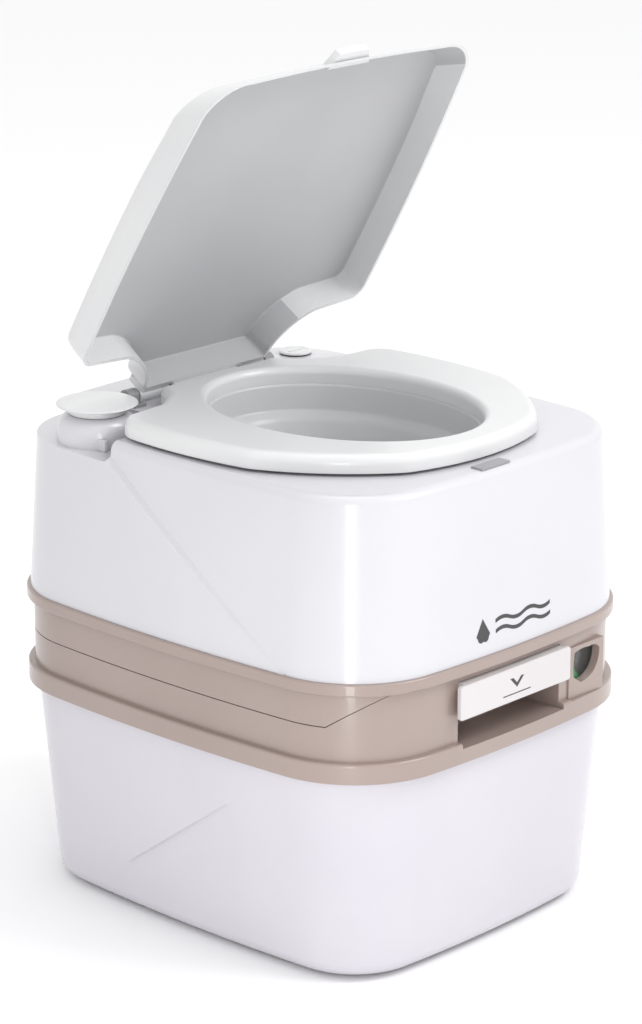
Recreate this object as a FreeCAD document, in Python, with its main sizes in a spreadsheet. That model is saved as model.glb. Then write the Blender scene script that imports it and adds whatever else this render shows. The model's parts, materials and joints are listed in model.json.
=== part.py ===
import FreeCAD, Part
import math
import os
import re
import Sketcher

# Portable camp toilet: a waste tank below, a fresh water tank with bowl, seat and lid above.
# +Z is up, the front with the pull handle faces -Y, the origin is on the floor under the body.

SIZES = {
    # plan outline of the two flanges: bowed sides joined by tangent corner arcs
    "half_width": 176.5, "half_depth": 207.5, "corner_round": 84,
    "side_bow": 1662, "end_bow": 1204,
    "wall": 3, "gap": 0.3, "neck_inset": 10.3, "rim_inset": 10, "outside": 240,
    # heights
    "tank_low": 3, "lower_shoulder": 169.5, "lower_top": 176, "collar_flange": 15.5,
    "parting": 211.3, "step_rear": -155, "step_front": -191, "step_gap": 0.4, "skirt_flange": 238,
    "upper_shoulder": 247.3, "upper_floor": 241, "deck": 387,
    # draft of the two tanks
    "foot_inset": 22.8, "lower_inset": 8, "upper_inset": 3, "deck_inset": 12, "band_inset": 5.5,
    # feet
    "foot_x": 100, "foot_y": 130, "foot_radius": 15,
    # bowl, outlet and waste valve
    "bowl_y": -27, "bowl_half_width": 95, "bowl_half_length": 123, "outlet_y": 5, "outlet_radius": 40,
    "valve_radius": 60, "valve_top": 232, "blade_low": 214, "blade_thick": 4, "blade_half": 50,
    "guide_front": -150, "blade_front": -45, "rod_x": -4, "rod_radius": 4, "rod_front": -176,
    "handle_front": -209, "handle_rear": -204.5, "handle_low": 205, "handle_high": 232,
    "handle_left": -68, "handle_right": 60, "recess_left": -62, "recess_right": 56, "recess_low": 181,
    "recess_rear": -168, "front_wall": -202,
    # level indicator
    "gauge_x": 88, "gauge_z": 188, "gauge_low": 184, "gauge_high": 226, "gauge_half": 21,
    "shaft_radius": 2, "shaft_front": -192, "arm_front": -157, "float_drop": 60.2, "float_radius": 12,
    # pour spout, vent and latch at the rear
    "spout_x": -100, "spout_y": 140, "spout_z": 206, "spout_radius": 18, "spout_tip": 8,
    "window_left": -129, "window_right": 24, "window_low": 179, "window_high": 234,
    "vent_x": 98, "vent_z": 197, "vent_radius": 8, "latch_x": 54, "latch_z": 206, "latch_travel": 14,
    # seat, lid and their hinge
    "hinge_x": 77, "hinge_y": 131.8, "hinge_z": 393.6, "hinge_screw": 9, "pin_radius": 3,
    "pin_gap": 0.05, "knuckle_radius": 6, "seat_low": 389, "tab_half": 36, "tab_play": 2, "tab_notch": 10,
    "seat_thick": 14.5, "seat_shoulder": 4, "hole_half_width": 91, "hole_half_length": 119, "lid_open": 59.4,
    "lid_low": -4, "lid_high": 23, "lid_wall": 3, "lid_slant": 22, "lid_draft": 5, "lid_shoulder": 6,
    "lid_slope": 40, "lid_knuckle_x": 54, "lid_knuckle": 32, "bumper_radius": 6,
    # flush pump and fill cap
    "pump_x": -124, "pump_y": 119, "pocket_z": 371, "pocket_x": -86, "pocket_y": 66,
    "barrel_radius": 16, "cap_radius": 32, "hose_x": -118, "hose_z": 360, "hose_radius": 4, "nozzle_y": -22,
    "fill_x": 128, "fill_y": 146, "fill_radius": 12,
}
doc = FreeCAD.newDocument("camp_toilet")
sheet = doc.addObject("Spreadsheet::Sheet", "Sizes")
for row, (alias, size) in enumerate(SIZES.items(), start=1):
    sheet.set(f"A{row}", alias)
    sheet.set(f"B{row}", str(size))
    sheet.setAlias(f"B{row}", alias)
doc.recompute()
parts = []


def in_sheet(size):
    """The expression for a size, with each alias looked up in the sheet."""
    return re.sub(r"[a-z_]\w*", lambda word: "Sizes." + word[0] if word[0] in SIZES else word[0], str(size))


def value(size):
    return float(sheet.evalExpression(in_sheet(size)))


def new_body(name, kept=True):
    body = doc.addObject("PartDesign::Body", name)
    body.Label = name
    if kept:
        parts.append(body)
    return body


def origin_plane(body, role):
    return next(feature for feature in body.Origin.OriginFeatures if feature.Role == role)


def new_sketch(body, plane, at=(0, 0, 0)):
    """A sketch on one of the body's origin planes, moved so that its own origin is at the point given."""
    sketch = body.newObject("Sketcher::SketchObject", body.Name + "_sketch")
    sketch.AttachmentSupport = (origin_plane(body, plane + "_Plane"), [""])
    sketch.MapMode = "FlatFace"
    x, y, z = at
    offset = {"XY": (x, y, z), "XZ": (x, z, f"-({y})"), "YZ": (y, z, x)}[plane]
    for letter, size in zip("xyz", offset):
        sketch.setExpression(f"AttachmentOffset.Base.{letter}", in_sheet(size))
    return sketch


def bind(sketch, kind, places, size):
    row = sketch.addConstraint(Sketcher.Constraint(kind, *places, value(size)))
    sketch.setExpression(f"Constraints[{row}]", in_sheet(size))


def pin_down(sketch, edge, end, x, y):
    bind(sketch, "DistanceX", (-1, 1, edge, end), x)
    bind(sketch, "DistanceY", (-1, 1, edge, end), y)


def circle(sketch, x, y, radius):
    centre = FreeCAD.Vector(value(x), value(y), 0)
    edge = sketch.addGeometry(Part.Circle(centre, FreeCAD.Vector(0, 0, 1), value(radius)))
    pin_down(sketch, edge, 3, x, y)
    bind(sketch, "Radius", (edge,), radius)
    return sketch


def outline(sketch, corners):
    """A closed outline; a corner with a third value starts an arc that bulges by it to the right."""
    points = [FreeCAD.Vector(value(corner[0]), value(corner[1]), 0) for corner in corners]
    ends = []
    for corner, here, there in zip(corners, points, points[1:] + points[:1]):
        if len(corner) > 2:
            run = there - here
            middle = (here + there) / 2 + FreeCAD.Vector(run.y, -run.x, 0).normalize() * value(corner[2])
            edge = sketch.addGeometry(Part.Arc(here, middle, there))
        else:
            edge = sketch.addGeometry(Part.LineSegment(here, there))
        start = 1 if sketch.getPoint(edge, 1).distanceToPoint(here) < 1e-6 else 2
        ends.append((edge, start, 3 - start))
    for index, (x, y, *bulge) in enumerate(corners):
        edge, start, end = ends[index]
        following = ends[(index + 1) % len(ends)]
        sketch.addConstraint(Sketcher.Constraint("Coincident", edge, end, following[0], following[1]))
        pin_down(sketch, edge, start, x, y)
        if bulge:
            next_x, next_y = corners[(index + 1) % len(corners)][:2]
            half_run = f"((({next_x})-({x}))^2+(({next_y})-({y}))^2)/4"
            bind(sketch, "Radius", (edge,), f"({half_run}+({bulge[0]})^2)/(2*abs({bulge[0]}))")
    return sketch


def rectangle(sketch, left, low, right, high):
    return outline(sketch, [(left, low), (right, low), (right, high), (left, high)])


def both_sides(right_half, front_bulge):
    """The right half of an outline, front to rear, completed by its mirror image."""
    left_half = []
    for index in reversed(range(len(right_half))):
        x, y = right_half[index][:2]
        bulge = right_half[index - 1][2:] if index else front_bulge
        left_half.append((f"-({x})", y, *bulge))
    return right_half + left_half


def body_outline(sketch, inset):
    """The toilet's plan outline, set in from the flanges: four bowed sides and four tangent corners."""
    side = FreeCAD.Vector(value("half_width-side_bow"), 0, 0)
    end = FreeCAD.Vector(0, value("half_depth-end_bow"), 0)
    from_side, from_end = value("side_bow-corner_round"), value("end_bow-corner_round")
    run = end - side
    along = (from_side ** 2 - from_end ** 2 + run.Length ** 2) / (2 * run.Length)
    run.normalize()
    corner = side + run * along + FreeCAD.Vector(-run.y, run.x, 0) * math.sqrt(from_side ** 2 - along ** 2)
    first = math.atan2(corner.y, corner.x - side.x)
    second = math.atan2(corner.y - end.y, corner.x)
    turns = [first, second, math.pi - second, math.pi - first]
    turns = [-first] + turns + [turn + math.pi for turn in turns]
    arcs = [(side.x, 0, "side_bow"), (corner.x, corner.y, "corner_round"), (0, end.y, "end_bow"),
            (-corner.x, corner.y, "corner_round"), (-side.x, 0, "side_bow"),
            (-corner.x, -corner.y, "corner_round"), (0, -end.y, "end_bow"),
            (corner.x, -corner.y, "corner_round")]
    edges = []
    for (x, y, radius), start, stop in zip(arcs, turns, turns[1:]):
        whole = Part.Circle(FreeCAD.Vector(x, y, 0), FreeCAD.Vector(0, 0, 1), value(f"{radius}-({inset})"))
        edges.append(sketch.addGeometry(Part.ArcOfCircle(whole, start, stop)))
    for edge, following, (x, y, radius) in zip(edges, edges[1:] + edges[:1], arcs):
        sketch.addConstraint(Sketcher.Constraint("Tangent", edge, 2, following, 1))
        bind(sketch, "Radius", (edge,), f"{radius}-({inset})")
    pin_down(sketch, edges[0], 3, "half_width-side_bow", 0)
    pin_down(sketch, edges[2], 3, 0, "half_depth-end_bow")
    pin_down(sketch, edges[4], 3, "side_bow-half_width", 0)
    pin_down(sketch, edges[6], 3, 0, "end_bow-half_depth")
    return sketch


def ellipse(sketch, y, half_width, half_length):
    """An oval across the body's centre plane, longer along Y."""
    centre = FreeCAD.Vector(0, value(y), 0)
    long_end = centre + FreeCAD.Vector(0, value(half_length), 0)
    side = centre + FreeCAD.Vector(value(half_width), 0, 0)
    edge = sketch.addGeometry(Part.Ellipse(long_end, side, centre))
    sketch.exposeInternalGeometry(edge)
    pin_down(sketch, edge, 3, 0, y)
    sketch.addConstraint(Sketcher.Constraint("Vertical", edge + 1))
    bind(sketch, "Distance", (edge + 1,), f"2*({half_length})")
    bind(sketch, "Distance", (edge + 2,), f"2*({half_width})")
    return sketch


def pad(body, sketch, length, draft=0, back=False, middle=False):
    feature = body.newObject("PartDesign::Pad", body.Name + "_pad")
    feature.Profile = sketch
    feature.setExpression("Length", in_sheet(length))
    feature.setExpression("TaperAngle", in_sheet(draft))
    feature.Reversed = back
    if middle:
        feature.SideType = "Symmetric"
    doc.recompute()
    return feature


def pocket(body, sketch, depth, draft=0, back=False, middle=False):
    before = body.Shape.Volume
    feature = body.newObject("PartDesign::Pocket", body.Name + "_pocket")
    feature.Profile = sketch
    feature.setExpression("Length", in_sheet(depth))
    feature.setExpression("TaperAngle", in_sheet(draft))
    feature.Reversed = back
    if middle:
        feature.SideType = "Symmetric"
    doc.recompute()
    if body.Shape.Volume > before - 1:
        raise RuntimeError(f"a pocket of {body.Label} cuts nothing")
    return feature


def turn(body, sketch, axis):
    feature = body.newObject("PartDesign::Revolution", body.Name + "_turned")
    feature.Profile = sketch
    feature.ReferenceAxis = (sketch, [axis])
    feature.Angle = 360
    doc.recompute()
    return feature


def turned(name, axis, at, profile, kept=True):
    """A round piece about an axis through the point given; profile points are (along, radius)."""
    body = new_body(name, kept)
    sketch = new_sketch(body, "YZ" if axis == "Y" else "XZ", at)
    points = [(radius, along) if axis == "Z" else (along, radius) for along, radius in profile]
    turn(body, outline(sketch, points), "V_Axis" if axis == "Z" else "H_Axis")
    return body


def ring(name, axis, at, low, high, inner, outer):
    return turned(name, axis, at, [(low, inner), (low, outer), (high, outer), (high, inner)])


def soften(body, radius, pick):
    """Rounds the edges of the body's last feature that the test picks."""
    base = body.Tip
    names = [f"Edge{number}" for number, edge in enumerate(base.Shape.Edges, start=1) if pick(edge)]
    feature = body.newObject("PartDesign::Fillet", body.Name + "_round")
    feature.Base = (base, names)
    feature.setExpression("Radius", in_sheet(radius))
    doc.recompute()
    return feature


def at_height(height):
    level = value(height)
    return lambda edge: all(abs(corner.Z - level) < 1e-4 for corner in edge.Vertexes) \
        and edge.BoundBox.ZLength < 1e-3


def loft(body, sections, cut=False):
    kind = "SubtractiveLoft" if cut else "AdditiveLoft"
    feature = body.newObject("PartDesign::" + kind, body.Name + "_loft")
    feature.Profile = sections[0]
    feature.Sections = sections[1:]
    feature.Ruled = True
    doc.recompute()
    return feature


def mirrored(body, plane):
    feature = body.newObject("PartDesign::Mirrored", body.Name + "_mirror")
    feature.Originals = [body.Tip]
    feature.MirrorPlane = (origin_plane(body, plane), [""])
    body.Tip = feature
    doc.recompute()
    return feature


def box(name, low, high, kept=True):
    body = new_body(name, kept)
    sketch = rectangle(new_sketch(body, "XY", (0, 0, low[2])), low[0], low[1], high[0], high[1])
    pad(body, sketch, f"({high[2]})-({low[2]})")
    return body


def cut_box(body, low, high):
    sketch = rectangle(new_sketch(body, "XY", (0, 0, low[2])), low[0], low[1], high[0], high[1])
    return pocket(body, sketch, f"({high[2]})-({low[2]})", back=True)


def bore(body, x, y, radius, low, high):
    sketch = circle(new_sketch(body, "XY", (0, 0, low)), x, y, radius)
    return pocket(body, sketch, f"({high})-({low})", back=True)


def draft_angle(inset_change, height):
    return f"atan(({inset_change})/({height}))"


def make_lower_tank():
    tank = new_body("lower_tank_outer", kept=False)
    rise = "lower_shoulder-tank_low"
    draft = draft_angle("foot_inset-lower_inset", rise)
    pad(tank, body_outline(new_sketch(tank, "XY", (0, 0, "tank_low")), "foot_inset"), rise, draft)
    soften(tank, 11, at_height("tank_low"))
    pad(tank, body_outline(new_sketch(tank, "XY", (0, 0, "lower_shoulder")), "neck_inset"),
        "lower_top-lower_shoulder")
    space = new_body("lower_tank_space", kept=False)
    floor = "tank_low+wall"
    room = "lower_shoulder-tank_low-2*wall"
    pad(space, body_outline(new_sketch(space, "XY", (0, 0, floor)), "foot_inset+wall"), room, draft)
    soften(space, 8, at_height(floor))
    pad(space, body_outline(new_sketch(space, "XY", (0, 0, "lower_shoulder-wall-1")), "neck_inset+wall"),
        "lower_top-lower_shoulder+1")
    bore(tank, 0, "outlet_y", "outlet_radius", "lower_top-wall-1", "lower_top+1")
    bore(tank, "spout_x", "spout_y", "spout_radius-4", "lower_top-wall-1", "lower_top+1")
    cut_box(tank, ("gauge_x-32", "-161", "lower_top-wall-1"), ("gauge_x", "-149", "lower_top+1"))
    shell = doc.addObject("Part::Cut", "lower_tank")
    shell.Label = "lower_tank"
    shell.Base = tank
    shell.Tool = space
    parts.append(shell)


def make_feet():
    feet = new_body("tank_feet")
    pad(feet, circle(new_sketch(feet, "XY"), "foot_x", "foot_y", "foot_radius"), "tank_low")
    mirrored(feet, "YZ_Plane")
    far = circle(new_sketch(feet, "XY"), "foot_x", "-foot_y", "foot_radius")
    circle(far, "-foot_x", "-foot_y", "foot_radius")
    pad(feet, far, "tank_low")


def make_step(body, shift, edge, beyond):
    """Cuts the body along the stepped parting line, which climbs at the front, away on the given side."""
    line = f"parting+({shift})"
    climb = [("step_front", beyond), ("step_front", edge), ("step_rear", line), ("outside", line)]
    if beyond < value(edge):
        climb = [("-outside", beyond), ("-outside", edge)] + climb[1:]
    pocket(body, outline(new_sketch(body, "YZ"), climb + [("outside", beyond)]), 400, middle=True)


def make_lower_collar():
    collar = new_body("lower_collar")
    pad(collar, body_outline(new_sketch(collar, "XY", (0, 0, "lower_shoulder")), 0), "collar_flange")
    soften(collar, 2, at_height("lower_shoulder+collar_flange"))
    wall = body_outline(new_sketch(collar, "XY", (0, 0, "lower_shoulder+collar_flange-3")), "band_inset")
    pad(collar, wall, "skirt_flange-lower_shoulder-collar_flange+3-step_gap")
    space = body_outline(new_sketch(collar, "XY", (0, 0, "lower_shoulder-1")), "rim_inset")
    pocket(collar, space, 80, back=True)
    make_step(collar, 0, "skirt_flange-step_gap", 260)
    liner = rectangle(new_sketch(collar, "XY", (0, 0, "lower_top+0.5")), "handle_left", "front_wall+3",
                      "recess_right+4", "recess_rear+4")
    pad(collar, liner, "skirt_flange-lower_top-0.5-step_gap")
    cut_box(collar, ("recess_left", "-outside", "recess_low"),
            ("recess_right", "recess_rear", "handle_high+2*step_gap"))
    bore_hole = circle(new_sketch(collar, "XZ", ("rod_x", "recess_rear-1", "blade_low+blade_thick/2")), 0, 0,
                       "rod_radius+gap")
    pocket(collar, bore_hole, 6)
    cut_box(collar, ("gauge_x-gauge_half", "-outside", "gauge_low"),
            ("gauge_x+gauge_half", -190, "gauge_high"))
    cut_box(collar, ("window_left", 150, "window_low"), ("window_right", "outside", "window_high"))
    vent = circle(new_sketch(collar, "XZ", ("vent_x", 180, "vent_z")), 0, 0, "vent_radius+0.3")
    pocket(collar, vent, 30)
    cut_box(collar, ("latch_x-4.5", 180, "latch_z-3"), ("latch_x+latch_travel+4.5", "outside", "latch_z+3"))


def make_valve():
    body = turned("valve_body", "Z", (0, "outlet_y", 0),
                  [("lower_top", "outlet_radius"), ("lower_top", "valve_radius+8"),
                   ("lower_top+5", "valve_radius+8"), ("lower_top+5", "valve_radius"),
                   ("valve_top", "valve_radius"), ("valve_top", "outlet_radius")])
    guide = rectangle(new_sketch(body, "XY", (0, 0, "blade_low-6")), "-blade_half-5", "guide_front",
                      "blade_half+5", "outlet_y-outlet_radius-6")
    pad(body, guide, "blade_thick+12")
    slot = rectangle(new_sketch(body, "XY", (0, 0, "blade_low-gap")), "-blade_half-gap", -200,
                     "blade_half+gap", "outlet_y+outlet_radius+7.3")
    pocket(body, slot, "blade_thick+2*gap", back=True)
    room = "rod_radius+gap+0.1"
    cut_box(body, (f"rod_x-({room})", "guide_front-1", f"blade_low+blade_thick/2-({room})"),
            (f"rod_x+{room}", "blade_front+3", f"blade_low+blade_thick/2+{room}"))
    seal = new_body("valve_seal")
    turn(seal, outline(new_sketch(seal, "XZ", (0, "outlet_y", 0)),
                       [("outlet_radius-3", "blade_low-5"), ("outlet_radius", "blade_low-5"),
                        ("outlet_radius", "blade_low-gap"), ("outlet_radius-3", "blade_low-gap")]), "V_Axis")
    blade = new_body("valve_blade")
    shape = new_sketch(blade, "XY", (0, 0, "blade_low"))
    outline(shape, [("-blade_half", "blade_front"), ("blade_half", "blade_front"),
                    ("blade_half", "outlet_y+16"),
                    ("blade_half-26", "outlet_y+outlet_radius+6.5"),
                    ("26-blade_half", "outlet_y+outlet_radius+6.5"), ("-blade_half", "outlet_y+16")])
    pad(blade, shape, "blade_thick")
    turned("valve_rod", "Y", ("rod_x", 0, "blade_low+blade_thick/2"),
           [("blade_front", 0), ("blade_front", "rod_radius-2.1"), ("blade_front-5", "rod_radius"),
            ("rod_front", "rod_radius"), ("rod_front", 0)])


def make_handle():
    handle = new_body("pull_handle")
    plate = outline(new_sketch(handle, "YZ", ("(handle_left+handle_right)/2", 0, 0)),
                    [("handle_front", "handle_low+2"), ("handle_front+2", "handle_low"),
                     ("handle_rear", "handle_low"), ("handle_rear", "handle_high"),
                     ("handle_front+3", "handle_high"), ("handle_front", "handle_high-3")])
    pad(handle, plate, "handle_right-handle_left", middle=True)
    shelf = rectangle(new_sketch(handle, "XY", (0, 0, "handle_high-4")), "recess_left+0.7", "handle_rear",
                      "recess_right-0.7", "rod_front")
    pad(handle, shelf, 4)
    web = rectangle(new_sketch(handle, "XY", (0, 0, "handle_low+5")), "rod_x-10", "rod_front-4",
                    "rod_x+10", "rod_front")
    pad(handle, web, "handle_high-handle_low-5")
    screws = new_body("handle_screws")
    for side in (-7, 7):
        place = (f"rod_x+({side})", "rod_front-4", "blade_low+blade_thick/2")
        shank = circle(new_sketch(screws, "XZ", place), 0, 0, 2.5)
        pad(screws, shank, 1.6)


def make_indicator():
    bracket = box("indicator_bracket", ("gauge_x-8", -180, "lower_top"),
                  ("gauge_x+8", -162, "lower_top+18"))
    cut_box(bracket, ("gauge_x-9", -176, "lower_top+3"), ("gauge_x+9", -166, "lower_top+19"))
    shaft_hole = circle(new_sketch(bracket, "XZ", ("gauge_x", -181, "gauge_z")), 0, 0,
                        "shaft_radius+0.05")
    pocket(bracket, shaft_hole, 22)
    turned("indicator_shaft", "Y", ("gauge_x", 0, "gauge_z"),
           [("shaft_front", 0), ("shaft_front", "shaft_radius"), (-150, "shaft_radius"), (-150, 0)])
    flag = new_body("indicator_flag")
    sign = outline(new_sketch(flag, "XZ", ("gauge_x", "shaft_front+2", "gauge_z")),
                   [(-4, -4), (4, -4), (3, 8), (-2, 14), (-3, 33), (-13, 30), (-12, 13), (-4, 6)])
    pad(flag, sign, 1.2)
    hole = circle(new_sketch(flag, "XZ", ("gauge_x", "shaft_front", "gauge_z")), 0, 0, "shaft_radius")
    pocket(flag, hole, 4)
    arm = new_body("float_arm")
    bar = outline(new_sketch(arm, "XZ", ("gauge_x", "arm_front+4", "gauge_z")),
                  [(-4.5, -1), (0, -5), (4, 1), (0, 5), (-3, 3), (-31, -45.5), (-26.5, -48)])
    pad(arm, bar, 4)
    hole = circle(new_sketch(arm, "XZ", ("gauge_x", "arm_front-1", "gauge_z")), 0, 0, "shaft_radius")
    pocket(arm, hole, 6)
    turned("float", "Y", ("gauge_x-30", 0, "gauge_z-float_drop"),
           [(-172, 0), (-172, "float_radius-3"), (-169, "float_radius"), (-141, "float_radius"),
            (-138, "float_radius-3"), (-138, 0)])
    bezel = box("indicator_bezel", ("gauge_x-gauge_half+0.1", -201.5, "gauge_low+0.1"),
                ("gauge_x+gauge_half-0.1", -194.5, "gauge_high-0.1"))
    shield = outline(new_sketch(bezel, "XZ", ("gauge_x", -203, "gauge_z")),
                     [(-15, 13), (-6, 7, 1), (9, 12, 2), (16, 30, 2), (4, 34, 1), (-14, 33, 1)])
    pocket(bezel, shield, 20)
    glass = new_body("indicator_window")
    pane = rectangle(new_sketch(glass, "XZ", ("gauge_x", -192.9, "gauge_z")), -18, 3, 18, 36)
    pad(glass, pane, 1.6)


def make_spout():
    ring("spout_socket", "Z", ("spout_x", "spout_y", 0), "lower_top", "lower_top+7", "spout_radius+0.06",
         "spout_radius+6")
    spout = turned("pour_spout", "Z", ("spout_x", "spout_y", 0),
                   [("lower_top+gap", 0), ("lower_top+gap", "spout_radius"), ("spout_z+8", "spout_radius"),
                    ("spout_z+18", 10), ("spout_z+18", 0)])
    tube = circle(new_sketch(spout, "YZ", ("spout_x", "spout_y", "spout_z")), 0, 0, "spout_radius")
    pad(spout, tube, "spout_tip-spout_x")
    bore(spout, "spout_x", "spout_y", "spout_radius-4", "lower_top", "spout_z+5")
    inside = circle(new_sketch(spout, "YZ", ("spout_x", "spout_y", "spout_z")), 0, 0, "spout_radius-3")
    pocket(spout, inside, 160, back=True)
    ring("spout_seal", "X", (0, "spout_y", "spout_z"), "spout_tip", "spout_tip+2", "spout_radius-3",
         "spout_radius")
    turned("spout_cap", "X", (0, "spout_y", "spout_z"),
           [("spout_tip-16", "spout_radius+0.06"), ("spout_tip-16", "spout_radius+5"),
            ("spout_tip+5", "spout_radius+5"), ("spout_tip+7", "spout_radius+3"), ("spout_tip+7", 0),
            ("spout_tip+2.3", 0), ("spout_tip+2.3", "spout_radius+0.06")])


def make_vent_and_latch():
    turned("vent_housing", "Y", ("vent_x", 0, "vent_z"),
           [(173, 0), (173, "vent_radius+3"), (190.6, "vent_radius+3"), (190.6, "vent_radius+0.06"),
            (176, "vent_radius+0.06"), (176, 0)])
    ring("vent_spring", "Y", ("vent_x", 0, "vent_z"), 176, 184, 4.5, 6)
    turned("vent_button", "Y", ("vent_x", 0, "vent_z"),
           [(184, 0), (184, "vent_radius"), (201, "vent_radius"), (202.5, "vent_radius-1.5"), (202.5, 0)])
    slider = box("latch_slider", ("latch_x-12", 202.4, "latch_z-5"), ("latch_x+12", 206.8, "latch_z+5"))
    stem = rectangle(new_sketch(slider, "XY", (0, 0, "latch_z-2.5")), "latch_x-4", 189, "latch_x+4", 203)
    pad(slider, stem, 5)
    tongue = rectangle(new_sketch(slider, "XY", (0, 0, "latch_z-2.5")), "latch_x-4", 189, "latch_x+18", 192)
    pad(slider, tongue, 5)
    keeper = box("latch_keeper", ("latch_x+18.5", 185, "latch_z-8"), ("latch_x+31.5", 188.4, "upper_floor"))
    foot = rectangle(new_sketch(keeper, "XY", (0, 0, "latch_z-8")), "latch_x+18.5", 188,
                     "latch_x+31.5", 192.5)
    pad(keeper, foot, 5)


def make_upper_skirt():
    skirt = new_body("upper_skirt")
    flange = body_outline(new_sketch(skirt, "XY", (0, 0, "skirt_flange")), 0)
    pad(skirt, flange, "upper_shoulder-skirt_flange")
    soften(skirt, 1.5, lambda edge: at_height("skirt_flange")(edge) or at_height("upper_shoulder")(edge))
    wall = body_outline(new_sketch(skirt, "XY", (0, 0, "parting")), "band_inset")
    pad(skirt, wall, "skirt_flange-parting+2")
    pocket(skirt, body_outline(new_sketch(skirt, "XY", (0, 0, "parting-1")), "rim_inset"), 80, back=True)
    make_step(skirt, "2*step_gap", "skirt_flange", 180)
    cut_box(skirt, ("window_left", 150, "window_low"), ("window_right", "outside", "window_high"))


def upper_block(name, inset_more, low, drop, pocket_shift):
    """The fresh water tank's drafted block with the pump pocket cut out of its rear left corner."""
    body = new_body(name, kept=False)
    draft = "-" + draft_angle("deck_inset-upper_inset", "deck-upper_shoulder")
    sketch = body_outline(new_sketch(body, "XY", (0, 0, low)), f"upper_inset+({inset_more})")
    pad(body, sketch, f"deck-({drop})-({low})", draft)
    soften(body, 6, at_height(f"deck-({drop})"))
    cut_box(body, ("-outside", f"pocket_y-({pocket_shift})", f"pocket_z-({pocket_shift})"),
            (f"pocket_x+({pocket_shift})", "outside", "deck+10"))
    return body


def make_upper_tank():
    tank = upper_block("upper_tank_outer", 0, "upper_shoulder", 0, 0)
    neck = body_outline(new_sketch(tank, "XY", (0, 0, "upper_floor")), "neck_inset")
    pad(tank, neck, "upper_shoulder-upper_floor")
    soften(tank, 5, lambda edge: abs(edge.Vertexes[0].X - value("pocket_x")) < 1e-3
           and abs(edge.Vertexes[0].Y - value("pocket_y")) < 1e-3 and edge.BoundBox.ZLength > 10)
    mouth = ellipse(new_sketch(tank, "XY", (0, 0, "deck+1")), "bowl_y", "bowl_half_width+gap",
                    "bowl_half_length+gap")
    pocket(tank, mouth, 12)
    bore(tank, 0, "outlet_y", "outlet_radius+4.2", "upper_floor-1", "upper_shoulder+8")
    bore(tank, "pump_x", "pump_y", "barrel_radius", "pocket_z-8", "pocket_z+1")
    bore(tank, "fill_x", "fill_y", "fill_radius+2", "deck-12", "deck+1")
    for x in ("-hinge_x", "hinge_x"):
        for y in ("hinge_y-hinge_screw", "hinge_y+hinge_screw"):
            bore(tank, x, y, 1.5, "deck-2.9", "deck+1")
    space = upper_block("upper_tank_space", "wall", "upper_shoulder+wall", "wall", "wall")
    well = body_outline(new_sketch(space, "XY", (0, 0, "upper_floor+wall")), "neck_inset+wall")
    pad(space, well, "upper_shoulder-upper_floor+1")
    shell = doc.addObject("Part::Cut", "upper_tank")
    shell.Label = "upper_tank"
    shell.Base = tank
    shell.Tool = space
    parts.append(shell)


def make_bowl():
    bowl = new_body("bowl")
    levels = (("deck", "bowl_y", "bowl_half_width", "bowl_half_length"),
              ("deck-60", "bowl_y+4", "bowl_half_width-9", "bowl_half_length-13"),
              ("deck-122", "bowl_y+22", "bowl_half_width-34", "bowl_half_length-52"),
              ("upper_floor+wall+0.5", "outlet_y", "outlet_radius+6", "outlet_radius+7"))
    outer = [ellipse(new_sketch(bowl, "XY", (0, 0, z)), y, wide, long) for z, y, wide, long in levels]
    loft(bowl, outer)
    rim = ellipse(new_sketch(bowl, "XY", (0, 0, "deck")), "bowl_y", "bowl_half_width+5", "bowl_half_length+5")
    pad(bowl, rim, 1.6)
    spigot = circle(new_sketch(bowl, "XY", (0, 0, "valve_top+4")), 0, "outlet_y", "outlet_radius+4")
    pad(bowl, spigot, "upper_floor-valve_top+1")
    inner = [ellipse(new_sketch(bowl, "XY", (0, 0, z)), y, f"{wide}-wall", f"{long}-wall")
             for z, y, wide, long in levels]
    loft(bowl, inner, cut=True)
    mouth = ellipse(new_sketch(bowl, "XY", (0, 0, "deck-0.5")), "bowl_y", "bowl_half_width-wall",
                    "bowl_half_length-wall")
    pocket(bowl, mouth, 5, back=True)
    bore(bowl, 0, "outlet_y", "outlet_radius+1", "valve_top", "upper_floor+wall+1")
    nozzle_hole = circle(new_sketch(bowl, "YZ", (-60, "nozzle_y", "hose_z")), 0, 0, 6)
    pocket(bowl, nozzle_hole, 40)
    ring("bowl_seal", "Z", (0, "outlet_y", 0), "valve_top+gap", "valve_top+4", "outlet_radius",
         "outlet_radius+7")


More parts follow.
